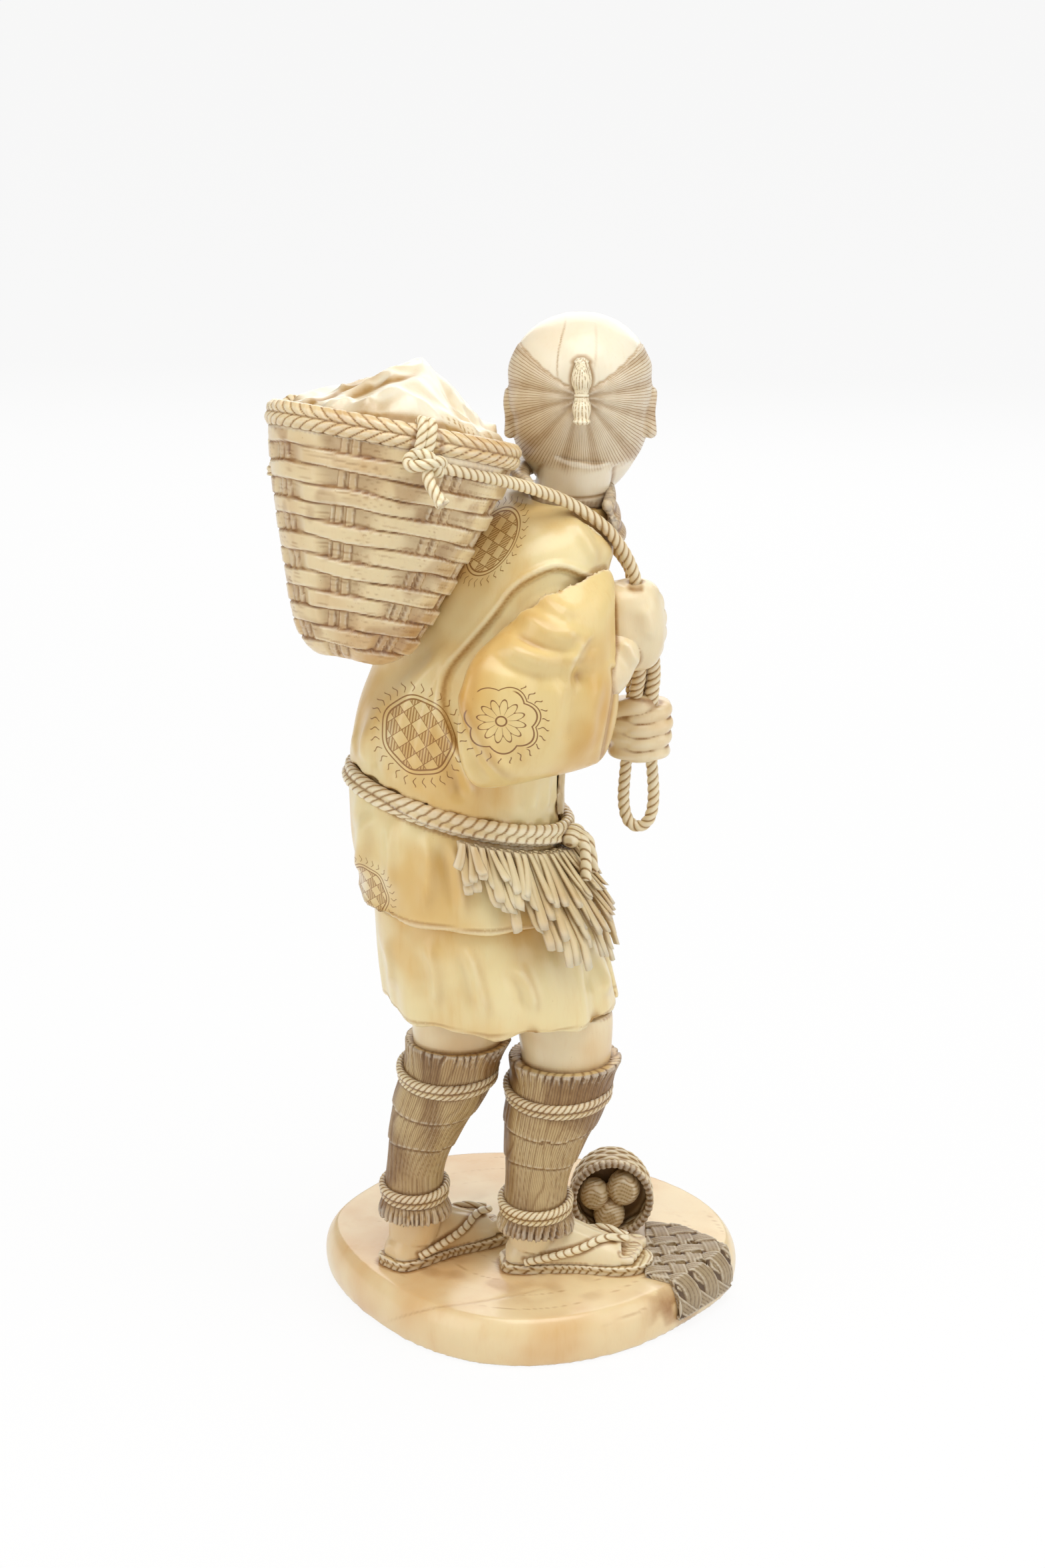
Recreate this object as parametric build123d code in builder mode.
from build123d import *
import os
from math import cos, sin, tan, tau, radians

os.makedirs("parts", exist_ok=True)

# An okimono: a carved farm worker who walks with a basket on the back. Millimetres, +Z up.
# The figure faces -Y, its right side is -X, and the origin is the centre of the base's underside.

# Base, a slice across a tusk
base_width = 105.0
base_thickness = 12.0
base_outline_shares = (1.047, 1.008, 1.019, 0.955, 0.93, 0.975, 1.022, 0.995,
                       0.945, 0.93, 0.986, 0.975, 0.939, 0.925, 0.96, 1.016)
base_profile_shares = ((0.0, 0.985), (0.25, 1.0), (0.75, 0.99), (1.0, 0.95))

# Pegs that hold the carved sections together
peg_diameter = 4.0
peg_seat = 5.0
peg_clearance = 0.05

# Woven mat on the rim of the base
mat_thickness = 1.4
mat_skirt = 9.0
mat_outline_shares = ((-0.278, -0.48), (-0.4, -0.6), (-0.63, -0.64), (-0.82, -0.64), (-1.1, -0.6),
                      (-1.12, -0.14), (-0.96, -0.2), (-0.86, -0.19), (-0.745, -0.13), (-0.66, -0.2))
mat_hole = 2.5
mat_hole_pitch = 5.4
mat_hole_turn_degrees = -25.0
mat_hole_place_share = 0.86

# Feet and straw sandals
sole_thickness = 2.2
sole_length = 38.5
sole_width = 15.0
sole_outline_shares = ((0.0, 0.0), (0.04, 0.33), (0.2, 0.4), (0.45, 0.38), (0.7, 0.5),
                       (0.88, 0.46), (0.97, 0.26), (1.0, 0.0))
foot_length = 35.0
foot_width = 12.6
foot_height = 14.0
foot_setback = 1.6
foot_level_shares = ((0.0, 0.2, 0.22), (0.05, 0.36, 0.42), (0.2, 0.42, 0.78), (0.38, 0.42, 0.82),
                     (0.55, 0.45, 0.62), (0.7, 0.5, 0.44), (0.82, 0.47, 0.34))
toe_place_shares = (-0.36, -0.14, 0.05, 0.23, 0.39)
toe_length_shares = (0.27, 0.24, 0.22, 0.195, 0.17)
toe_width_shares = (0.27, 0.18, 0.175, 0.17, 0.165)
toe_level_shares = ((0.0, 0.8), (0.45, 1.0), (0.75, 1.12), (0.93, 0.85), (1.0, 0.4))
toe_root_share = 0.74
toe_height_share = 1.15
heel_in_share = 0.9
heel_low_share = 0.25
ankle_middle_share = 0.6
ankle_height = 17.0
ankle_half_width = 6.4
left_heel_x = 3.0
left_heel_y = 42.5
left_foot_turn = 3.0
right_heel_x = -12.0
right_heel_y = 18.4
right_foot_turn = -34.0
ankle_from_heel = 9.0
sandal_cord_diameter = 1.9
cord_heel_share = 0.16
cord_side_share = 0.52
cord_top_share = 0.5
cord_toe_share = 0.83

# Gaiters of straw, tied above and below
left_gaiter_length = 46.5
left_gaiter_lift = 10.5
left_gaiter_half = 13.2
right_gaiter_length = 44.0
right_gaiter_lift = 8.5
right_gaiter_half = 14.2
gaiter_level_shares = ((0.0, 0.0, 0.64), (0.1, 0.0, 0.61), (0.27, 0.03, 0.56), (0.4, 0.15, 0.62),
                       (0.54, 0.34, 0.74), (0.68, 0.58, 0.86), (0.85, 0.84, 0.93), (1.0, 1.0, 1.0))
gaiter_depth_share = 0.96
gaiter_cord_diameter = 2.1
upper_cord_share = 0.8
lower_cord_share = 0.13
cord_tilt_share = 0.1
cord_pitch_share = 0.92
cord_proud_share = 1.03
cord_points = 10
left_knee_x = -1.8
left_knee_y = 23.6
right_knee_x = -17.8
right_knee_y = 2.5

# Bare knees and thighs
knee_seat = 6.0
knee_half = 11.6
thigh_half = 11.8
thigh_seat = 6.0
left_hip_x = 4.5
left_hip_y = 18.0
right_hip_x = -14.0
right_hip_y = 7.0

# Kimono skirt
skirt_hem_height = 80.0
skirt_seat = 7.0
skirt_half_width = 27.5
skirt_half_depth = 29.0
skirt_x = -5.2
skirt_y = 13.4
skirt_hem_slope = 0.07
skirt_wall = 3.6
skirt_recess = 11.0
skirt_level_shares = ((0.0, 1.0, 1.0, 0.0, 0.0), (0.3, 0.99, 0.97, 0.03, 0.06),
                      (0.65, 0.94, 0.92, 0.08, 0.14), (1.0, 0.84, 0.82, 0.16, 0.2))
flap_thickness = 1.3
flap_width = 17.0
flap_height = 24.0
flap_x = -18.5

# Vest
vest_length = 100.0
vest_hem_height = 107.0
vest_half_width = 28.0
vest_half_depth = 27.2
vest_x = -1.2
skirt_length = vest_hem_height + skirt_seat - skirt_hem_height
shoulder_height = vest_hem_height + vest_length
vest_y = 19.4
vest_hem_slope = 0.05
vest_level_shares = ((0.0, 1.0, 1.0, 0.0, 0.0), (0.11, 0.97, 0.985, 0.05, 0.06),
                     (0.25, 0.9, 0.945, 0.1, 0.12), (0.34, 0.925, 0.935, 0.1, 0.1),
                     (0.44, 0.94, 0.93, 0.08, 0.06), (0.58, 0.945, 0.86, 0.03, -0.09),
                     (0.73, 0.95, 0.83, -0.05, -0.25), (0.83, 0.92, 0.8, -0.12, -0.39),
                     (0.915, 0.83, 0.72, -0.17, -0.49), (0.965, 0.68, 0.6, -0.19, -0.58),
                     (1.0, 0.46, 0.41, -0.21, -0.7))
lapel_thickness = 1.3
cloth_gap = 0.4
chest_top_width = 10.0
chest_low_width = 24.0
chest_back = 4.0

# Waist rope and straw apron
belt_above_hem = 24.5
belt_height = vest_hem_height + belt_above_hem
belt_slope_back = 0.26
belt_slope_side = 0.12
belt_diameter = 2.6
belt_rise = 2.4
belt_stand_off = 0.3
belt_points = 14
belt_sunk_share = 0.32
waist_knot_length = 8.5
waist_knot_diameter = 5.4
waist_knot_rise = 1.2
waist_knot_turn_degrees = -140.0
knot_level_shares = ((-0.5, 0.4), (-0.3, 0.85), (0.0, 1.0), (0.3, 0.85), (0.5, 0.4))
tail_length = 10.0
tail_reach = 4.2
tail_route_shares = ((0.06, 0.3, -0.05), (0.2, 0.8, 0.1), (0.32, 0.95, 0.55), (0.45, 1.0, 1.0))
apron_length = 32.0
apron_upper_share = 0.52
apron_thickness = 1.9
apron_flare = 5.8
apron_flare_shares = ((0.0, 0.0, 1.0), (0.5, 0.36, 0.7), (1.0, 1.0, 0.45))
apron_layer_share = 1.37
apron_ridge_shares = (0.6, 1.0)
apron_straws = 15
apron_from_degrees = -208.0
apron_to_degrees = 25.0

# Collar and neck
collar_height = 11.0
collar_half_width = 14.0
collar_half_depth = 12.4
collar_x = -7.6
collar_y = -3.2
neck_half_width = 8.8
neck_length = 16.0

# Head, turned to the figure's left
head_x = -11.0
head_y = -6.0
head_above_shoulder = 21.0
head_z = shoulder_height + head_above_shoulder
head_height = 43.5
head_width = 33.0
head_depth = 37.0
head_turn_degrees = 55.0
head_nod_degrees = 9.0
head_level_shares = ((0.0, 0.15, 0.14, 0.24), (0.08, 0.29, 0.27, 0.19), (0.22, 0.41, 0.4, 0.11),
                     (0.4, 0.475, 0.475, 0.04), (0.58, 0.5, 0.5, 0.0), (0.74, 0.485, 0.485, -0.02),
                     (0.88, 0.39, 0.395, -0.02), (0.965, 0.24, 0.245, -0.01), (1.0, 0.1, 0.1, 0.0))
nose_length = 9.0
nose_width = 6.0
nose_height_share = 0.36
nose_level_shares = ((1.0, 0.2, -0.3), (0.6, 0.3, 0.0), (0.15, 0.5, 0.36), (0.0, 0.42, 0.2), (-0.06, 0.2, 0.0))
ear_height = 10.5
ear_width = 5.6
ear_thickness = 3.4
ear_height_share = 0.46
ear_level_shares = ((-0.5, 0.3), (-0.3, 0.62), (0.1, 1.0), (0.36, 0.95), (0.5, 0.4))
topknot_length = 15.5
topknot_diameter = 4.6
topknot_lift_share = 0.6
topknot_level_shares = ((0.0, 0.25), (0.06, 0.4), (0.2, 0.46), (0.33, 0.4), (0.4, 0.3),
                        (0.46, 0.3), (0.54, 0.42), (0.75, 0.5), (0.93, 0.46), (1.0, 0.34))

# Sleeves of the kimono
right_sleeve_drop = 48.5
right_sleeve_below_shoulder = 14.0
right_sleeve_top = shoulder_height - right_sleeve_below_shoulder
right_sleeve_x = -27.5
right_sleeve_y = 17.5
sleeve_half_width = 9.6
sleeve_half_length = 21.5
right_sleeve_shares = ((0.0, 0.45, 0.3, 0.25, -0.6), (0.12, 0.8, 0.52, 0.05, -0.46),
                       (0.28, 0.95, 0.78, -0.05, -0.18), (0.44, 1.0, 0.95, -0.06, -0.03),
                       (0.6, 1.0, 1.02, -0.04, 0.0), (0.76, 0.95, 1.02, 0.0, 0.0),
                       (0.88, 0.8, 0.96, 0.03, 0.0), (0.97, 0.5, 0.86, 0.06, -0.02),
                       (1.0, 0.25, 0.72, 0.08, -0.03))
left_sleeve_drop = 57.0
left_sleeve_below_shoulder = 15.0
left_sleeve_top = shoulder_height - left_sleeve_below_shoulder
left_sleeve_x = 18.0
left_sleeve_y = 3.0
left_sleeve_turn = 41.0
left_sleeve_shares = ((0.0, 0.5, 0.34, -0.4, 0.0), (0.11, 0.85, 0.52, -0.12, 0.04),
                      (0.25, 0.98, 0.64, 0.1, 0.1), (0.4, 1.0, 0.74, 0.1, 0.1),
                      (0.54, 1.0, 0.88, -0.02, 0.02), (0.68, 1.0, 1.0, -0.16, -0.06),
                      (0.82, 0.94, 1.0, -0.2, -0.1), (0.94, 0.74, 0.86, -0.2, -0.1),
                      (1.0, 0.35, 0.55, -0.2, -0.1))

# Forearms and fists, their heights from the shoulders
def at_shoulder(x, y, above):
    return (x, y, shoulder_height + above)


forearm_half = 7.0
wrist_half = 5.0
right_elbow = at_shoulder(-26.5, 15.0, -47.0)
right_wrist = at_shoulder(-27.0, -4.5, -37.5)
right_fist = at_shoulder(-24.8, -11.9, -30.7)
right_fist_length = 21.0
right_fist_width = 16.0
right_fist_depth = 15.5
left_elbow = at_shoulder(20.0, 5.0, -56.0)
left_wrist = at_shoulder(-7.5, -14.5, -60.5)
left_fist = at_shoulder(-17.5, -19.5, -59.5)
left_fist_length = 15.5
left_fist_width = 15.5
left_fist_depth = 13.0
grip_turn_degrees = -125.0
right_fist_lean_shares = (-0.08, 0.12)
fist_outline_shares = (1.0, 1.06, 1.0, 1.06, 1.0, 1.06, 1.0, 1.06)
fist_level_shares = ((-0.5, 0.45), (-0.38, 0.8), (-0.1, 1.0), (0.2, 0.96), (0.42, 0.74), (0.5, 0.4))
finger_level_shares = ((-0.5, 0.5), (-0.44, 0.86), (-0.37, 1.0), (-0.25, 0.92), (-0.12, 1.04), (0.0, 0.95),
                       (0.13, 1.04), (0.25, 0.94), (0.37, 0.98), (0.45, 0.78), (0.5, 0.42))

# Carrying ropes, and the flat left where two turns of rope meet, their heights from the shoulders
rope_valley_share = 0.8
shoulder_rope_diameter = 2.7
right_rope = tuple(at_shoulder(*point) for point in (
    (-29.5, 50.8, 17.6), (-29.3, 46.0, 16.4), (-29.3, 36.2, 13.4), (-24.0, 19.5, 7.5),
    (-21.4, 5.4, 1.6), (-25.2, -2.6, -4.6), (-25.3, -6.4, -9.0), (-25.2, -9.8, -13.7),
    (-25.4, -12.6, -20.0), (-25.2, -12.6, -26.0)))
left_rope = tuple(at_shoulder(*point) for point in (
    (27.4, 50.6, 13.4), (26.9, 44.0, 11.6), (24.3, 34.0, 8.2), (18.8, 23.0, 2.4),
    (14.3, 9.0, -3.8), (12.2, 0.0, -2.6), (11.0, -5.5, -4.0), (7.2, -11.0, -6.8),
    (1.0, -15.2, -9.4), (-7.0, -16.6, -13.4), (-15.0, -16.6, -17.2), (-20.6, -15.0, -20.0),
    (-21.2, -13.6, -25.0)))
bundle_diameter = 8.6
bundle_top = at_shoulder(-22.5, -16.5, -39.0)
bundle_low = at_shoulder(-19.0, -19.2, -55.0)
loop_width = 7.2
loop_height = 19.5
loop_rope_diameter = 2.5
loop_route_shares = ((-0.36, 0.0), (-0.46, 0.34), (-0.5, 0.68), (-0.36, 0.93), (0.0, 1.02),
                     (0.36, 0.93), (0.5, 0.68), (0.46, 0.34), (0.36, 0.0))

# Basket on the back
basket_x = -1.1
basket_y = 40.3
basket_above_shoulder = 18.0
basket_z = shoulder_height + basket_above_shoulder
basket_tilt_degrees = 16.6
basket_lean_degrees = 4.8
basket_depth = 50.0
basket_radius = 29.2
basket_profile_shares = ((0.0, 0.22), (0.05, 0.4), (0.16, 0.52), (0.3, 0.61), (0.5, 0.73), (0.75, 0.87),
                         (1.0, 0.98))
basket_wall = 2.6
basket_bore = 14.0
rim_height = 5.6
rim_thickness = 3.2
rim_proud = 0.5
rim_profile_shares = ((0.0, -1.0), (0.8, -1.0), (1.0, -0.5), (1.0, 0.5), (0.7, 1.0), (0.15, 1.0), (0.0, 0.7))
basket_peg_share = 0.56
contents_gap = 0.15
contents_edge = 1.1
contents_rise = 8.5
contents_profile_shares = ((0.0, 1.0), (0.25, 0.92), (0.62, 0.7), (0.92, 0.4), (1.0, 0.0))
lump_height = 14.0
lump_level_shares = ((0.0, 1.0), (0.45, 0.92), (0.75, 0.7), (0.93, 0.4), (1.0, 0.18))
lump_place_shares = ((-0.12, -0.22, 0.5, 0.42, 0.62), (0.42, 0.1, 0.34, 0.38, 0.3), (-0.55, 0.3, 0.3, 0.34, 0.2))
basket_knot_diameter = 7.0
basket_knot_length = 12.5
basket_knot_drop = 2.5
basket_knot_stand = 1.2
basket_knot_turn_degrees = 20.0

# Small creel that lies by the right foot
creel_x = -15.5
creel_y = -13.8
creel_turn_degrees = -35.0
creel_length = 19.0
creel_mouth_radius = 10.4
creel_level_shares = ((0.0, 1.0), (0.35, 1.0), (0.75, 0.84), (0.95, 0.62), (1.0, 0.42))
creel_wall = 1.3
creel_bore = 11.0
catch_diameter = 8.4
catch_place_shares = ((0.3, -0.3, 0.22, 1.0), (0.3, 0.42, 0.05, 0.9), (0.32, 0.05, -0.5, 0.95))


def on_plane(origin, forward, side=(1, 0, 0)):
    """A plane through a point, square to a direction, with its first axis near another."""
    across = Vector(*side) - Vector(*forward).normalized() * Vector(*side).dot(Vector(*forward).normalized())
    return Plane(origin=origin, x_dir=across, z_dir=forward)


def ring(plane, half_width, half_depth, bulge_shares=(1, 1, 1, 1, 1, 1, 1, 1)):
    """A smooth closed outline on a plane, from its two half sizes."""
    count = len(bulge_shares)
    points = [(half_width * share * cos(tau * i / count), half_depth * share * sin(tau * i / count))
              for i, share in enumerate(bulge_shares)]
    with BuildSketch(plane) as outline:
        with BuildLine():
            Spline(*points, periodic=True)
        make_face()
    return outline.sketch


def upright_body(levels, height, half_width, half_depth, x, y, z, slope=0.0, grow=0.0, turn=0.0):
    """A body lofted upwards through rings, each a row of shares: up, width, depth, shifts."""
    with BuildPart() as body:
        for up, width, depth, right, back in levels:
            tilt = slope * (1 - up)
            origin = (x + right * half_width, y + back * half_depth, z + up * height)
            plane = on_plane(origin, (0, tilt, 1), (cos(radians(turn)), sin(radians(turn)), 0))
            add(ring(plane, width * half_width + grow, depth * half_depth + grow))
        loft()
    return body.part


def spin_plane(origin, up, side=(1, 0, 0)):
    """A plane that holds an axis as its second direction, to revolve an outline about it."""
    across = (Vector(*side) - up * Vector(*side).dot(up)).normalized()
    return Plane(origin=tuple(origin), x_dir=across, z_dir=tuple(across.cross(up)))


def row_at(rows, up):
    """The row of a level table at a height between its own rows."""
    low = max(row for row in rows if row[0] <= up)
    high = min(row for row in rows if row[0] >= up)
    part = 0 if high[0] == low[0] else (up - low[0]) / (high[0] - low[0])
    return tuple(a + (b - a) * part for a, b in zip(low, high))


def limb(points, halves, flat_share=1.0, side=(1, 0, 0)):
    """A rounded limb along points, square to its own line at each of them."""
    with BuildPart() as body:
        for i, point in enumerate(points):
            before = Vector(*points[max(i - 1, 0)])
            after = Vector(*points[min(i + 1, len(points) - 1)])
            plane = on_plane(point, tuple(after - before), side)
            add(ring(plane, halves[i], halves[i] * flat_share))
        loft()
    return body.part


def rope(points, diameter, closed=False, second_turn=0.0):
    """A rope along straight runs joined by arcs as large as the runs allow, and a second one beside it."""
    count = len(points)
    corners = range(count) if closed else range(1, count - 1)
    radii = []
    for i in corners:
        corner = Vector(*points[i])
        run_in = corner - Vector(*points[i - 1])
        run_out = Vector(*points[(i + 1) % count]) - corner
        half_turn = radians(run_in.get_angle(run_out)) / 2
        radii.append(0.45 * min(run_in.length, run_out.length) / tan(half_turn))
    with BuildPart() as strand:
        with BuildLine() as route:
            FilletPolyline(*points, radius=radii, close=closed)
        with BuildSketch(on_plane(tuple(route.line @ 0), tuple(route.line % 0), (0, 0, 1))):
            Circle(diameter / 2)
            if second_turn:
                with Locations((second_turn, 0)):
                    Circle(diameter / 2)
                with Locations((second_turn / 2, 0)):
                    Rectangle(second_turn, diameter * rope_valley_share)
        sweep(path=route.line)
    return strand.part


def between(a, b, share):
    """The point at a share of the way from one point to another."""
    return tuple(p + (q - p) * share for p, q in zip(a, b))


def finish(part, name):
    """Name a finished piece and write it to its own file."""
    part.label = name
    export_step(part, f"parts/{name}.step")


ground = base_thickness
foot_floor = ground + sole_thickness


def ground_direction(turn):
    """The level direction that a turn from straight ahead gives."""
    return Vector(sin(radians(turn)), -cos(radians(turn)), 0)


# Base
with BuildPart() as base_slab:
    for up, size in base_profile_shares:
        add(ring(Plane.XY.offset(up * base_thickness), base_width / 2 * size, base_width / 2 * size,
                 base_outline_shares))
    loft()

# Woven mat, laid on the base and over its edge
mat_spread = 1 + 2 * mat_thickness / base_width
with BuildPart() as ground_mat:
    for up, size in base_profile_shares:
        add(ring(Plane.XY.offset(up * (base_thickness + mat_thickness)), base_width / 2 * size * mat_spread,
                 base_width / 2 * size * mat_spread, base_outline_shares))
    loft()
    mat_plane = Plane.XY.offset(ground - mat_skirt)
    with BuildSketch(mat_plane):
        with BuildLine():
            Polyline(*[(x * base_width / 2, y * base_width / 2) for x, y in mat_outline_shares], close=True)
        make_face()
    extrude(amount=mat_skirt + mat_thickness, mode=Mode.INTERSECT)
    add(base_slab.part, mode=Mode.SUBTRACT)
    middle_x = sum(x for x, y in mat_outline_shares) / len(mat_outline_shares)
    middle_y = sum(y for x, y in mat_outline_shares) / len(mat_outline_shares)
    hole_place = (middle_x * mat_hole_place_share * base_width / 2, middle_y * base_width / 2)
    with BuildSketch(mat_plane.offset(mat_skirt)):
        with Locations(Location(hole_place, mat_hole_turn_degrees)):
            with GridLocations(mat_hole_pitch, mat_hole_pitch, 3, 3):
                Rectangle(mat_hole, mat_hole)
    extrude(amount=mat_thickness, mode=Mode.SUBTRACT)


def foot_plane(heel, turn, ahead, up):
    """A plane square to a foot at a distance ahead of its heel and a height above the ground."""
    forward = ground_direction(turn)
    return on_plane(tuple(Vector(*heel) + forward * ahead + Vector(0, 0, up)), tuple(forward), (1, 0, 0))


def make_sandal(heel, turn):
    """A straw sole with a rounded heel and a wider front."""
    plane = Plane(origin=heel, x_dir=ground_direction(turn), z_dir=(0, 0, 1))
    side = [(along * sole_length, out * sole_width) for along, out in sole_outline_shares]
    other = [(along, -out) for along, out in side[-2:0:-1]]
    with BuildPart() as sole:
        with BuildSketch(plane):
            with BuildLine():
                Spline(*(side + other), periodic=True)
            make_face()
        extrude(amount=sole_thickness)
    return sole.part


def make_foot(heel, turn, ankle, mirror_side):
    """A bare foot on its sole, with five toes and an ankle that goes up into the gaiter."""
    with BuildPart() as foot:
        for along, wide, tall in foot_level_shares:
            add(ring(foot_plane(heel, turn, foot_setback + along * foot_length, sole_thickness),
                     wide * foot_width, tall * foot_height))
        loft()
        add(limb((between(heel, ankle, heel_in_share)[:2] + (foot_floor + foot_height * heel_low_share,),
                  ankle[:2] + (foot_floor + foot_height * ankle_middle_share,),
                  ankle[:2] + (foot_floor + ankle_height,)),
                 (ankle_half_width * heel_in_share, ankle_half_width, ankle_half_width)))
        for place, length, width in zip(toe_place_shares, toe_length_shares, toe_width_shares):
            across = place * foot_width * mirror_side
            half = width * foot_width / 2
            root = foot_setback + foot_length * toe_root_share
            with BuildPart(mode=Mode.PRIVATE) as toe:
                for along, size in toe_level_shares:
                    plane = foot_plane(heel, turn, root + along * length * foot_length, sole_thickness + half)
                    origin = plane.origin + plane.x_dir * across
                    add(ring(Plane(origin=origin, x_dir=plane.x_dir, z_dir=plane.z_dir),
                             half * size, half * toe_height_share * size))
                loft()
            add(toe.part)
        floor_plane = Plane(origin=(0, 0, foot_floor))
        split(bisect_by=floor_plane, keep=Keep.TOP)
    return foot.part


def make_sandal_cord(heel, turn, ankle, foot, sole):
    """Straw cords from both sides of the sole over the foot, and one round the heel."""
    plane = Plane(origin=heel, x_dir=ground_direction(turn), z_dir=(0, 0, 1))
    half = sandal_cord_diameter / 2
    edge = sole_width * 0.42
    low = sole_thickness + half
    over = sole_thickness + foot_height * 0.5
    toe_end = (sole_length * cord_toe_share, 0, sole_thickness + foot_height * 0.36)
    runs = []
    for way in (1, -1):
        runs.append(((sole_length * cord_heel_share, way * edge * 0.9, low),
                     (sole_length * cord_side_share * 0.68, way * edge * 0.98, low + half * 2),
                     (sole_length * cord_side_share, way * edge * 0.9, over * 0.72),
                     (sole_length * 0.68, way * edge * 0.5, over * 0.98),
                     toe_end[:1] + (way * half * 0.8,) + toe_end[2:]))
    with BuildPart() as cords:
        for run in runs:
            add(rope([tuple(plane.from_local_coords(Vector(*point))) for point in run],
                     sandal_cord_diameter))
        add(foot, mode=Mode.SUBTRACT)
        add(sole, mode=Mode.SUBTRACT)
    return cords.part


def gaiter_ring(leg, up):
    """The centre and half size of a gaiter at a share of its height."""
    ankle, knee, lift, length, half = leg
    row = row_at(gaiter_level_shares, up)
    centre = Vector(*ankle) + (Vector(*knee) - Vector(*ankle)) * row[1]
    return centre + Vector(0, 0, foot_floor + lift + up * length), half * row[2]


def make_gaiter(leg):
    """A straw gaiter, narrow over the ankle and wide below the knee."""
    with BuildPart() as gaiter:
        for row in gaiter_level_shares:
            centre, half = gaiter_ring(leg, row[0])
            add(ring(Plane(origin=tuple(centre)), half, half * gaiter_depth_share))
        loft()
    return gaiter.part


def make_gaiter_cord(leg, up, gaiter):
    """Two turns of cord round a gaiter, half sunk into its straw."""
    centre, half = gaiter_ring(leg, up)
    points = []
    for i in range(cord_points):
        x = half * cord_proud_share * cos(tau * i / cord_points)
        y = half * cord_proud_share * gaiter_depth_share * sin(tau * i / cord_points)
        points.append(tuple(centre + Vector(x, y, cord_tilt_share * (x - y))))
    with BuildPart() as cord:
        add(rope(points, gaiter_cord_diameter, closed=True,
                 second_turn=gaiter_cord_diameter * cord_pitch_share))
        add(gaiter, mode=Mode.SUBTRACT)
    return cord.part


# Skirt, recessed below like a real one
skirt_solid = upright_body(skirt_level_shares, skirt_length, skirt_half_width, skirt_half_depth,
                           skirt_x, skirt_y, skirt_hem_height, -skirt_hem_slope)
with BuildPart() as kimono_skirt:
    add(skirt_solid)
    recess_shares = ((-0.2, 1.0, 1.0, 0.0, 0.0), (0.0, 1.0, 1.0, 0.0, 0.0), (1.0, 0.9, 0.9, 0.04, 0.08))
    add(upright_body(recess_shares, skirt_recess, skirt_half_width - skirt_wall,
                     skirt_half_depth - skirt_wall, skirt_x, skirt_y, skirt_hem_height,
                     -skirt_hem_slope), mode=Mode.SUBTRACT)

# Legs and what they wear
sides = {
    "left": (left_heel_x, left_heel_y, left_foot_turn, left_knee_x, left_knee_y, left_hip_x, left_hip_y,
             left_gaiter_lift, left_gaiter_length, left_gaiter_half, 1),
    "right": (right_heel_x, right_heel_y, right_foot_turn, right_knee_x, right_knee_y,
              right_hip_x, right_hip_y, right_gaiter_lift, right_gaiter_length, right_gaiter_half, -1),
}
peg_holes = []
soles = []
for side, (heel_x, heel_y, turn, knee_x, knee_y, hip_x, hip_y, lift, length, half, way) in sides.items():
    heel = (heel_x, heel_y, ground)
    ahead = ground_direction(turn) * ankle_from_heel
    ankle = (heel_x + ahead.X, heel_y + ahead.Y, 0)
    knee = (knee_x, knee_y, 0)
    gaiter_top = foot_floor + lift + length
    dressed = (ankle, knee, lift, length, half)
    peg_low = ground - peg_seat
    with BuildPart() as foot_peg:
        with BuildSketch(Plane(origin=(ankle[0], ankle[1], peg_low))):
            Circle(peg_diameter / 2)
        extrude(amount=peg_seat + sole_thickness + peg_seat)
    with BuildPart() as peg_hole:
        with BuildSketch(Plane(origin=(ankle[0], ankle[1], peg_low - peg_clearance))):
            Circle(peg_diameter / 2 + peg_clearance)
        extrude(amount=peg_seat + sole_thickness + peg_seat + 2 * peg_clearance)
    sandal = make_sandal(heel, turn)
    foot = make_foot(heel, turn, ankle, way)
    gaiter = make_gaiter(dressed)
    thigh = skirt_hem_height + skirt_recess + thigh_seat
    leg_points = ((knee_x, knee_y, gaiter_top - knee_seat),
                  between(knee, (hip_x, hip_y, 0), 0.1)[:2] + (between((gaiter_top,), (thigh,), 0.3)[0],),
                  between(knee, (hip_x, hip_y, 0), 0.5)[:2] + (between((gaiter_top,), (thigh,), 0.7)[0],),
                  (hip_x, hip_y, thigh))
    leg = limb(leg_points, (knee_half * 0.92, knee_half, thigh_half, thigh_half * 0.98))
    with BuildPart() as bare_leg:
        add(leg)
        add(kimono_skirt.part, mode=Mode.SUBTRACT)
    with BuildPart() as bare_foot:
        add(foot)
        add(peg_hole.part, mode=Mode.SUBTRACT)
    with BuildPart() as straw_gaiter:
        add(gaiter)
        add(leg, mode=Mode.SUBTRACT)
        add(foot, mode=Mode.SUBTRACT)
    with BuildPart() as straw_sandal:
        add(sandal)
        add(peg_hole.part, mode=Mode.SUBTRACT)
    cords = make_sandal_cord(heel, turn, ankle, foot, sandal)
    with BuildPart() as straw_cord:
        add(cords)
        add(gaiter, mode=Mode.SUBTRACT)
    upper_cord = make_gaiter_cord(dressed, upper_cord_share, gaiter)
    lower_cord = make_gaiter_cord(dressed, lower_cord_share, gaiter)
    peg_holes.append(peg_hole.part)
    soles.append(sandal)
    finish(foot_peg.part, f"{side}_foot_peg")
    finish(bare_foot.part, f"{side}_foot")
    finish(straw_sandal.part, f"{side}_sandal")
    finish(straw_cord.part, f"{side}_sandal_cord")
    finish(straw_gaiter.part, f"{side}_gaiter")
    finish(upper_cord, f"{side}_gaiter_upper_cord")
    finish(lower_cord, f"{side}_gaiter_lower_cord")
    finish(bare_leg.part, f"{side}_leg")

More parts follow.
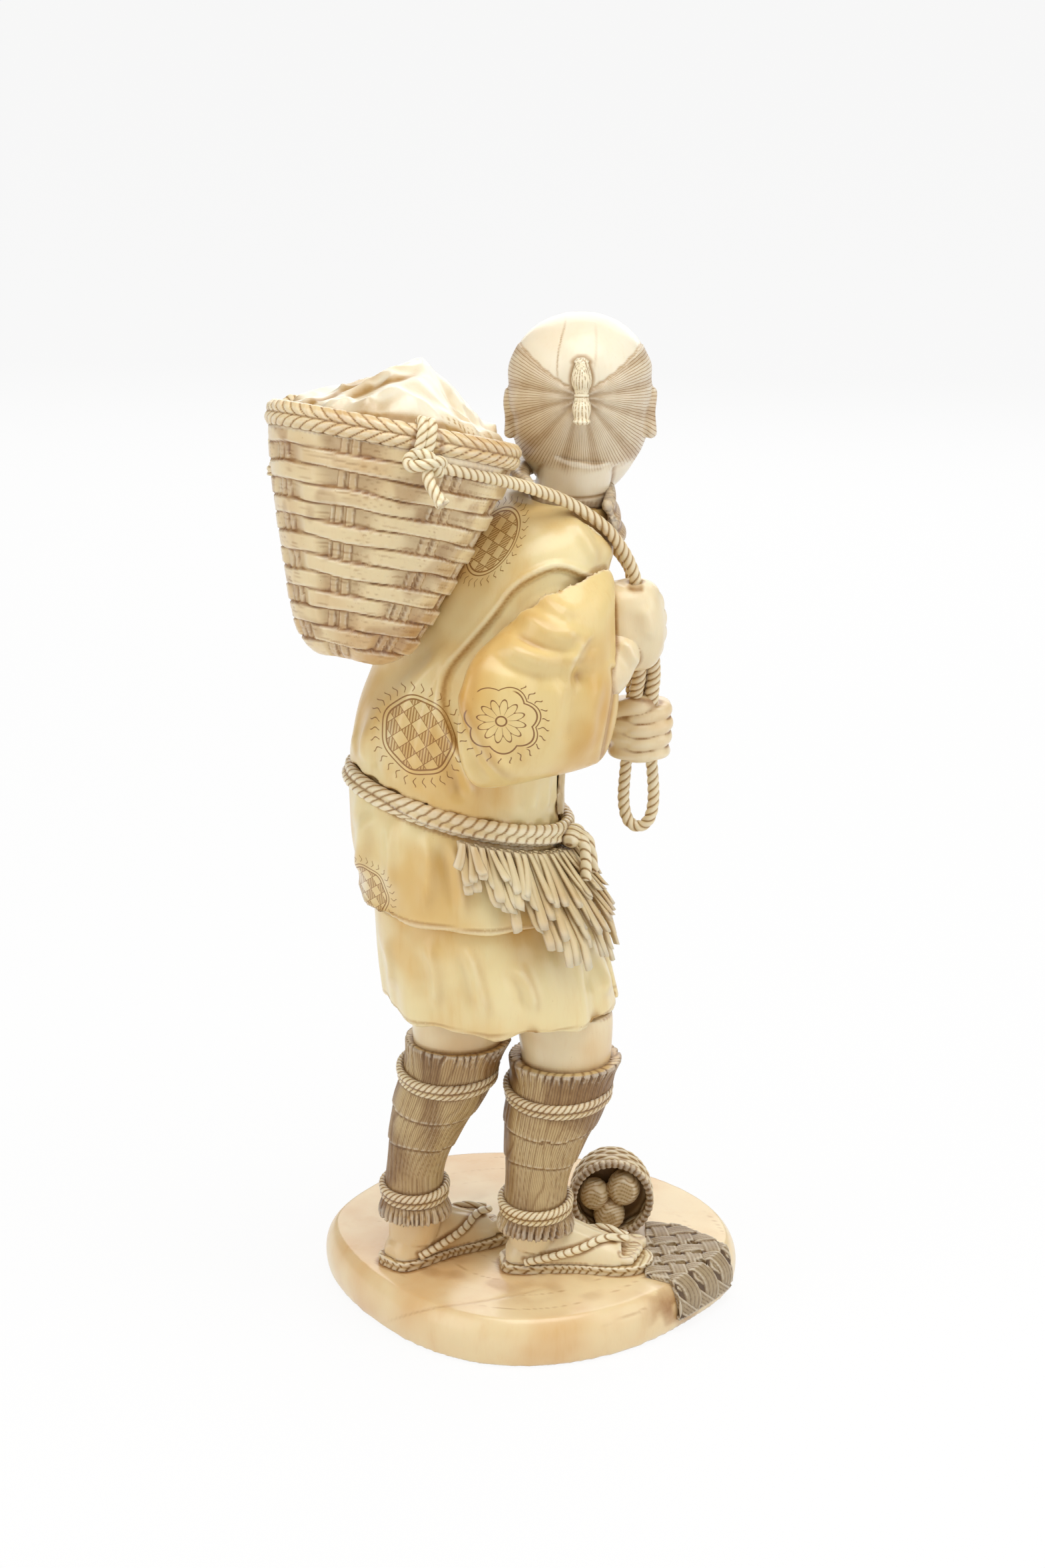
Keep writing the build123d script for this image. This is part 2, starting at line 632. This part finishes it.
with BuildPart() as drilled_base:
    add(base_slab.part)
    for hole in peg_holes:
        add(hole, mode=Mode.SUBTRACT)
with BuildPart() as mat_by_sandal:
    add(ground_mat.part)
    for sole in soles:
        add(sole, mode=Mode.SUBTRACT)
finish(drilled_base.part, "base_slab")
finish(mat_by_sandal.part, "ground_mat")

# Vest, the trunk of the figure
vest_solid = upright_body(vest_level_shares, vest_length, vest_half_width, vest_half_depth,
                          vest_x, vest_y, vest_hem_height, -vest_hem_slope)
with BuildPart() as skirt_in_vest:
    add(kimono_skirt.part)
    add(vest_solid, mode=Mode.SUBTRACT)
finish(skirt_in_vest.part, "kimono_skirt")

# Front flap of the skirt, one cloth thickness proud of it
with BuildPart() as skirt_flap:
    add(upright_body(skirt_level_shares, skirt_length, skirt_half_width, skirt_half_depth,
                     skirt_x, skirt_y, skirt_hem_height, -skirt_hem_slope, grow=flap_thickness))
    flap_low = skirt_hem_height - flap_thickness
    with BuildSketch(Plane.XZ.offset(-skirt_y)):
        with BuildLine():
            Polyline((flap_x, flap_low), (flap_x + flap_width, flap_low),
                     (flap_x + flap_width * 0.75, flap_low + flap_height),
                     (flap_x + flap_width * 0.1, flap_low + flap_height), close=True)
        make_face()
    extrude(amount=skirt_half_depth * 2, mode=Mode.INTERSECT)
    add(skirt_solid, mode=Mode.SUBTRACT)
    add(vest_solid, mode=Mode.SUBTRACT)
finish(skirt_flap.part, "skirt_flap")

# Ropes that carry the basket, from its knots over the shoulders into the upper fist
ropes = {"right": rope(right_rope, shoulder_rope_diameter), "left": rope(left_rope, shoulder_rope_diameter)}

# Chest cloth in the open front of the vest
with BuildPart() as chest_cloth:
    add(upright_body(vest_level_shares, vest_length, vest_half_width, vest_half_depth,
                     vest_x, vest_y, vest_hem_height, -vest_hem_slope, grow=lapel_thickness))
    chest_low = belt_height - belt_diameter
    chest_high = vest_hem_height + vest_length * 0.95
    with BuildSketch(Plane.XZ.offset(-chest_back)):
        with BuildLine():
            Polyline((vest_x - chest_low_width * 0.6, chest_low), (vest_x + chest_low_width * 0.4, chest_low),
                     (vest_x + chest_top_width * 0.2, chest_high),
                     (vest_x - chest_top_width * 0.8, chest_high), close=True)
        make_face()
    extrude(amount=vest_half_depth * 2, mode=Mode.INTERSECT)
    add(vest_solid, mode=Mode.SUBTRACT)


belt_proud = belt_stand_off + belt_diameter * (0.5 - belt_sunk_share)


def belt_point(turn, rise, proud):
    """A point round the waist, on the plane that slopes down to the front."""
    x = y = 0
    for _ in range(2):
        z = belt_height + rise + belt_slope_back * y + belt_slope_side * x
        wide, deep, right, back = row_at(vest_level_shares, (z - vest_hem_height) / vest_length)[1:]
        x = (wide * vest_half_width + proud) * cos(turn)
        y = (deep * vest_half_depth + proud) * sin(turn)
    return Vector(vest_x + right * vest_half_width + x, vest_y + back * vest_half_depth + y, z)


# Waist rope, two turns side by side, half sunk into the cloth
waist_rope = rope([tuple(belt_point(tau * i / belt_points, 0, belt_proud)) for i in range(belt_points)],
                  belt_diameter, closed=True, second_turn=belt_rise)
finish(waist_rope, "waist_rope")

apron_top = belt_height - belt_diameter / 2 - cloth_gap


def apron_layer(length, proud):
    """Straw strips in one pleated sheet that hangs from the waist and flares out below."""
    with BuildPart() as sheet:
        for down, flare, slope in apron_flare_shares:
            z = apron_top - down * length
            up = max((z - vest_hem_height) / vest_length, 0)
            wide, deep, right, back = row_at(vest_level_shares, up)[1:]
            outer = []
            inner = []
            for i in range(2 * apron_straws + 1):
                turn = radians(apron_from_degrees + (apron_to_degrees - apron_from_degrees) * i / (2 * apron_straws))
                reach = proud + apron_flare * flare * length / apron_length
                reach += apron_thickness * apron_ridge_shares[i % 2]
                for edge, thickness in ((outer, 0), (inner, apron_thickness)):
                    edge.append(((wide * vest_half_width + reach - thickness) * cos(turn),
                                 (deep * vest_half_depth + reach - thickness) * sin(turn)))
            middle = (vest_x + right * vest_half_width, vest_y + back * vest_half_depth, z)
            with BuildSketch(on_plane(middle, (-belt_slope_side * slope, -belt_slope_back * slope, 1))):
                with BuildLine():
                    Polyline(*(outer + inner[::-1]), close=True)
                make_face()
        loft(ruled=True)
    return sheet.part


# Straw apron in two layers, the lower one longer
with BuildPart() as straw_apron:
    add(apron_layer(apron_length, cloth_gap))
    add(vest_solid, mode=Mode.SUBTRACT)
    add(skirt_flap.part, mode=Mode.SUBTRACT)
with BuildPart() as straw_apron_upper:
    add(apron_layer(apron_length * apron_upper_share, apron_thickness * apron_layer_share))
with BuildPart() as chest_seated:
    add(chest_cloth.part)
    add(straw_apron.part, mode=Mode.SUBTRACT)
    for other in (ropes["right"], ropes["left"], waist_rope):
        add(other, mode=Mode.SUBTRACT)
finish(straw_apron.part, "straw_apron")
finish(straw_apron_upper.part, "straw_apron_upper")
finish(chest_seated.part, "chest_cloth")

# Knot of the waist rope with its two hanging tails
knot_turn = radians(waist_knot_turn_degrees)
knot_out = Vector(cos(knot_turn), sin(knot_turn), 0)
knot_along = Vector(-sin(knot_turn), cos(knot_turn), 0)
knot_centre = belt_point(knot_turn, waist_knot_rise, waist_knot_diameter / 2 + belt_stand_off)
with BuildPart() as waist_knot:
    knot_ends = [tuple(knot_centre + knot_along * (along * waist_knot_length)) for along, size in knot_level_shares]
    add(limb(knot_ends, [waist_knot_diameter / 2 * size for along, size in knot_level_shares], side=(0, 0, 1)))
    for way in (-1, 1):
        tail = [tuple(knot_centre + knot_along * (way * waist_knot_length * along)
                      + knot_out * (tail_reach * out) - Vector(0, 0, down * tail_length))
                for along, out, down in tail_route_shares]
        add(rope(tail, belt_diameter))
    add(waist_rope, mode=Mode.SUBTRACT)
    add(straw_apron_upper.part, mode=Mode.SUBTRACT)
finish(waist_knot.part, "waist_knot")

# Head with its neck, in its own tilted frame
look = Vector(sin(radians(head_turn_degrees)), -cos(radians(head_turn_degrees)), 0)
nod = radians(head_nod_degrees)
head_up = Vector(look.X * sin(nod), look.Y * sin(nod), cos(nod))
head_front = Vector(look.X * cos(nod), look.Y * cos(nod), -sin(nod))
head_side = head_up.cross(head_front)
head_centre = Vector(head_x, head_y, head_z)


def head_point(front, side, up):
    """A point by its distances from the head's centre to the front, side and top."""
    return tuple(head_centre + head_front * front + head_side * side + head_up * up)


with BuildPart() as head:
    for up, wide, deep, front in head_level_shares:
        origin = head_point(front * head_depth, 0, (up - 0.5) * head_height)
        add(ring(Plane(origin=origin, x_dir=head_side, z_dir=head_up), wide * head_width, deep * head_depth))
    loft()
    neck_top = head_point(-neck_half_width * 0.5, 0, -head_height * 0.22)
    neck_low = (collar_x, collar_y, head_z - head_height / 2 - neck_length * 0.6)
    add(limb((neck_low, between(neck_low, neck_top, 0.5), neck_top),
             (neck_half_width * 1.1, neck_half_width, neck_half_width)))
    nose_up = (nose_height_share - 0.5) * head_height
    with BuildPart(mode=Mode.PRIVATE) as nose:
        for up, wide, out in nose_level_shares:
            front = head_depth * 0.515 + out * nose_width * 0.5
            origin = head_point(front, 0, nose_up + up * nose_length)
            add(ring(Plane(origin=origin, x_dir=head_side, z_dir=head_up), wide * nose_width, wide * nose_width))
        loft()
    add(nose.part)
    for way in (1, -1):
        with BuildPart(mode=Mode.PRIVATE) as ear:
            for up, size in ear_level_shares:
                origin = head_point(-head_depth * 0.02, way * head_width * 0.47,
                                    (ear_height_share - 0.5) * head_height + up * ear_height)
                add(ring(Plane(origin=origin, x_dir=head_side, z_dir=head_up),
                         ear_thickness / 2, size * ear_width / 2))
            loft()
        add(ear.part)

# Collar of the inner robe round the neck
with BuildPart() as under_collar:
    collar_low = head_z - head_height / 2 - neck_length * 0.5
    collar_shares = ((0.0, 1.12, 1.12, 0.0, 0.02), (0.4, 1.0, 1.0, 0.0, 0.0), (0.75, 0.87, 0.86, 0.0, -0.03),
                     (1.0, 0.8, 0.78, 0.0, -0.06))
    add(upright_body(collar_shares, collar_height, collar_half_width, collar_half_depth,
                     collar_x, collar_y, collar_low - lapel_thickness, -vest_hem_slope))
    for other in (head.part, vest_solid, chest_cloth.part, ropes["right"], ropes["left"]):
        add(other, mode=Mode.SUBTRACT)
finish(under_collar.part, "under_collar")

# Topknot, folded forward over its tie on the back of the head
with BuildPart() as topknot:
    knot_front = -head_depth * 0.5 - topknot_diameter * 0.1
    for along, size in topknot_level_shares:
        lift = (topknot_lift_share - 0.5) * head_height - topknot_length * 0.5 + along * topknot_length
        bow = topknot_diameter * 0.45 * (2 * along - 1) * abs(2 * along - 1)
        origin = head_point(knot_front + bow, 0, lift)
        add(ring(Plane(origin=origin, x_dir=head_side, z_dir=head_up),
                 size * topknot_diameter, size * topknot_diameter))
    loft()
    add(head.part, mode=Mode.SUBTRACT)
finish(topknot.part, "topknot")

# Sleeves, hollowed at the cuff where each forearm comes out
right_sleeve_solid = upright_body(
    [(1 - down, wide, deep, right, back) for down, wide, deep, right, back in right_sleeve_shares][::-1],
    right_sleeve_drop, sleeve_half_width, sleeve_half_length, right_sleeve_x, right_sleeve_y,
    right_sleeve_top - right_sleeve_drop)
left_sleeve_solid = upright_body(
    [(1 - down, wide, deep, right, back) for down, wide, deep, right, back in left_sleeve_shares][::-1],
    left_sleeve_drop, sleeve_half_length, sleeve_half_width * 1.05, left_sleeve_x, left_sleeve_y,
    left_sleeve_top - left_sleeve_drop, turn=left_sleeve_turn)


def fist(centre, length, width, depth, levels, lean=(0, 0)):
    """A closed hand round a rope, from rows of shares: up, size."""
    grip = (cos(radians(grip_turn_degrees)), sin(radians(grip_turn_degrees)), 0)
    with BuildPart() as hand:
        for up, size in levels:
            origin = (centre[0] + up * length * lean[0], centre[1] + up * length * lean[1],
                      centre[2] + up * length)
            add(ring(on_plane(origin, (lean[0], lean[1], 1), grip), size * width / 2, size * depth / 2,
                     fist_outline_shares))
        loft()
    return hand.part


with BuildPart() as right_arm:
    add(limb((right_elbow, between(right_elbow, right_wrist, 0.5), right_wrist,
              between(right_wrist, right_fist, 0.6)),
             (forearm_half, forearm_half * 0.92, wrist_half, wrist_half * 1.1), side=(1, 0, 0)))
    add(fist(right_fist, right_fist_length, right_fist_width, right_fist_depth, fist_level_shares,
             right_fist_lean_shares))
with BuildPart() as left_arm:
    add(limb((left_elbow, between(left_elbow, left_wrist, 0.5), left_wrist,
              between(left_wrist, left_fist, 0.6)),
             (forearm_half, forearm_half * 0.9, wrist_half, wrist_half * 1.1), side=(0, 0, 1)))
    add(fist(left_fist, left_fist_length, left_fist_width, left_fist_depth, finger_level_shares))

with BuildPart() as right_sleeve:
    add(right_sleeve_solid)
    add(vest_solid, mode=Mode.SUBTRACT)
    add(right_arm.part, mode=Mode.SUBTRACT)
with BuildPart() as left_sleeve:
    add(left_sleeve_solid)
    add(vest_solid, mode=Mode.SUBTRACT)
    add(chest_cloth.part, mode=Mode.SUBTRACT)
    add(left_arm.part, mode=Mode.SUBTRACT)
finish(right_sleeve.part, "right_sleeve")
finish(left_sleeve.part, "left_sleeve")

with BuildPart() as right_forearm:
    add(right_arm.part)
    for other in (vest_solid, ropes["right"], ropes["left"]):
        add(other, mode=Mode.SUBTRACT)
with BuildPart() as left_forearm:
    add(left_arm.part)
    add(vest_solid, mode=Mode.SUBTRACT)
    add(chest_cloth.part, mode=Mode.SUBTRACT)
    add(right_forearm.part, mode=Mode.SUBTRACT)
finish(right_forearm.part, "right_forearm")
finish(left_forearm.part, "left_forearm")

# Bundle of rope between the fists and the loop below
with BuildPart() as rope_bundle:
    add(limb((bundle_top, between(bundle_top, bundle_low, 0.5), bundle_low),
             (bundle_diameter / 2, bundle_diameter * 0.52, bundle_diameter / 2)))
    add(right_forearm.part, mode=Mode.SUBTRACT)
    add(left_forearm.part, mode=Mode.SUBTRACT)
finish(rope_bundle.part, "rope_bundle")

loop_side = Vector(cos(radians(grip_turn_degrees)), sin(radians(grip_turn_degrees)), 0)
with BuildPart() as rope_loop:
    loop_top = left_fist[2] - left_fist_length * 0.38
    middle = Vector(left_fist[0], left_fist[1], loop_top)
    loop_points = [tuple(middle + loop_side * (out * loop_width) - Vector(0, 0, down * loop_height))
                   for out, down in loop_route_shares]
    add(rope(loop_points, loop_rope_diameter))
    add(left_forearm.part, mode=Mode.SUBTRACT)
finish(rope_loop.part, "rope_loop")

# Basket, its rim, what it carries and its knots
tilt = radians(basket_tilt_degrees)
lean = radians(basket_lean_degrees)
basket_up = Vector(sin(lean), -sin(tilt), cos(tilt) * cos(lean)).normalized()
basket_top = Vector(basket_x, basket_y, basket_z)


basket_axis = Axis(tuple(basket_top), tuple(basket_up))
basket_plane = spin_plane(basket_top, basket_up)
rim_outer = basket_radius + rim_proud
rim_inner = rim_outer - rim_thickness
rim_half = rim_height / 2
basket_mouth = -rim_half
bore_up = 1 - (basket_bore + basket_mouth) / basket_depth
bore_low_half = row_at(basket_profile_shares, bore_up)[1] * basket_radius - basket_wall
bore_top_half = row_at(basket_profile_shares, 1.0)[1] * basket_radius - basket_wall
with BuildPart() as basket_solid:
    side = [(out * basket_radius, basket_mouth - (1 - up) * basket_depth) for up, out in basket_profile_shares]
    with BuildSketch(basket_plane):
        with BuildLine():
            Spline(*side)
            Polyline(side[-1], (0, basket_mouth), (0, side[0][1]), side[0])
        make_face()
    revolve(axis=basket_axis)
with BuildPart() as basket_rim:
    with BuildSketch(basket_plane):
        with BuildLine():
            Polyline(*[(rim_inner + out * rim_thickness, up * rim_half) for out, up in rim_profile_shares],
                     close=True)
        make_face()
    revolve(axis=basket_axis)
    add(vest_solid, mode=Mode.SUBTRACT)
contents_half = rim_inner - contents_gap
contents_top = contents_edge + contents_rise
with BuildPart() as basket_contents:
    dome = [(contents_half * out, contents_edge + contents_rise * up) for up, out in contents_profile_shares]
    with BuildSketch(basket_plane):
        with BuildLine():
            Spline(*dome)
            Polyline(dome[-1], (0, -basket_bore), (bore_low_half - contents_gap, -basket_bore),
                     (bore_top_half - contents_gap, basket_mouth), (contents_half, basket_mouth), dome[0])
        make_face()
    revolve(axis=basket_axis)
    for across, back, wide, deep, tall in lump_place_shares:
        with BuildPart(mode=Mode.PRIVATE) as lump:
            for up, size in lump_level_shares:
                rise = contents_edge + up * tall * lump_height
                plane = Plane(origin=tuple(basket_top + basket_up * rise), x_dir=basket_plane.x_dir,
                              z_dir=tuple(basket_up))
                origin = plane.from_local_coords(Vector(across * contents_half, back * contents_half, 0))
                add(ring(Plane(origin=origin, x_dir=plane.x_dir, z_dir=plane.z_dir),
                         size * wide * contents_half, size * deep * contents_half))
            loft()
        add(lump.part)
    add(vest_solid, mode=Mode.SUBTRACT)
with BuildPart() as basket:
    add(basket_solid.part)
    with BuildSketch(basket_plane):
        with BuildLine():
            Polyline((0, -basket_bore), (bore_low_half, -basket_bore), (bore_top_half, basket_mouth),
                     (0, basket_mouth), close=True)
        make_face()
    revolve(axis=basket_axis, mode=Mode.SUBTRACT)
    add(vest_solid, mode=Mode.SUBTRACT)

# Hidden pegs of the neck and the basket
with BuildPart() as neck_peg:
    peg_start = Vector(collar_x, collar_y, collar_low - peg_seat)
    with BuildSketch(Plane(origin=tuple(peg_start))):
        Circle(peg_diameter / 2)
    extrude(amount=peg_seat * 3)
with BuildPart() as neck_hole:
    with BuildSketch(Plane(origin=tuple(peg_start - Vector(0, 0, peg_clearance)))):
        Circle(peg_diameter / 2 + peg_clearance)
    extrude(amount=peg_seat * 3 + 2 * peg_clearance)
peg_way = Vector(0, -1, 0)
peg_way = (peg_way - basket_up * peg_way.dot(basket_up)).normalized()
peg_reach = row_at(basket_profile_shares, basket_peg_share)[1] * basket_radius
peg_middle = basket_top - basket_up * (basket_depth * (1 - basket_peg_share) - basket_mouth) + peg_way * peg_reach
with BuildPart() as basket_peg:
    with BuildSketch(on_plane(tuple(peg_middle - peg_way * peg_seat), tuple(peg_way))):
        Circle(peg_diameter / 2)
    extrude(amount=peg_seat * 2)
with BuildPart() as basket_hole:
    with BuildSketch(on_plane(tuple(peg_middle - peg_way * (peg_seat + peg_clearance)), tuple(peg_way))):
        Circle(peg_diameter / 2 + peg_clearance)
    extrude(amount=2 * peg_seat + 2 * peg_clearance)
finish(neck_peg.part, "neck_peg")
finish(basket_peg.part, "basket_peg")

for name, way in (("right", -1), ("left", 1)):
    turn = radians(basket_knot_turn_degrees)
    out = Vector(way * cos(turn), sin(turn), 0)
    out = (out - basket_up * out.dot(basket_up)).normalized()
    face = basket_top + out * (rim_outer + basket_knot_stand) - basket_up * basket_knot_drop
    with BuildPart() as knot:
        for up, size in knot_level_shares:
            add(ring(on_plane(tuple(face + basket_up * (up * basket_knot_length)), tuple(basket_up)),
                     size * basket_knot_diameter / 2, size * basket_knot_diameter / 2))
        loft()
        add(basket_solid.part, mode=Mode.SUBTRACT)
        add(basket_rim.part, mode=Mode.SUBTRACT)
    with BuildPart() as shoulder_rope:
        add(ropes[name])
        add(knot.part, mode=Mode.SUBTRACT)
    finish(knot.part, f"{name}_basket_knot")
    finish(shoulder_rope.part, f"{name}_shoulder_rope")
with BuildPart() as drilled_basket:
    add(basket.part)
    for other in (basket_hole.part, ropes["right"], ropes["left"]):
        add(other, mode=Mode.SUBTRACT)
with BuildPart() as drilled_head:
    add(head.part)
    add(neck_hole.part, mode=Mode.SUBTRACT)
with BuildPart() as vest:
    add(vest_solid)
    for other in (head.part, neck_hole.part, basket_hole.part, ropes["right"], ropes["left"], waist_rope):
        add(other, mode=Mode.SUBTRACT)
finish(drilled_basket.part, "basket")
finish(basket_rim.part, "basket_rim")
finish(basket_contents.part, "basket_contents")
finish(drilled_head.part, "head")
finish(vest.part, "vest")

# Small creel on its side with its catch
creel_way = Vector(cos(radians(creel_turn_degrees)), sin(radians(creel_turn_degrees)), 0)


creel_middle = Vector(creel_x, creel_y, ground + creel_mouth_radius)
creel_axis = Axis(tuple(creel_middle), tuple(creel_way))
with BuildPart() as creel_catch:
    for along, across, up, size in catch_place_shares:
        centre = (creel_middle + creel_way * (along * creel_bore)
                  + Vector(-creel_way.Y, creel_way.X, 0) * (across * creel_mouth_radius)
                  + Vector(0, 0, up * creel_mouth_radius))
        half = size * catch_diameter / 2
        points = [tuple(centre + Vector(0, 0, half * step * 1.1)) for step in (-0.95, -0.6, 0.0, 0.6, 0.95)]
        add(limb(points, [half * share for share in (0.35, 0.8, 1.0, 0.8, 0.35)]))
    with BuildSketch(on_plane(tuple(creel_middle), tuple(creel_way), (0, 0, 1))):
        Circle(creel_mouth_radius - creel_wall - contents_gap)
    extrude(amount=creel_bore, mode=Mode.INTERSECT)
with BuildPart() as fallen_creel:
    side = [(size * creel_mouth_radius, along * creel_length) for along, size in creel_level_shares]
    with BuildSketch(spin_plane(creel_middle, creel_way, (0, 0, 1))):
        with BuildLine():
            Spline(*side)
            Polyline(side[-1], (0, creel_length), (0, 0), side[0])
        make_face()
    revolve(axis=creel_axis)
    with BuildSketch(on_plane(tuple(creel_middle), tuple(creel_way), (0, 0, 1))):
        Circle(creel_mouth_radius - creel_wall)
    extrude(amount=creel_bore * 0.6, mode=Mode.SUBTRACT)
    add(creel_catch.part, mode=Mode.SUBTRACT)
finish(fallen_creel.part, "fallen_creel")
finish(creel_catch.part, "creel_catch")
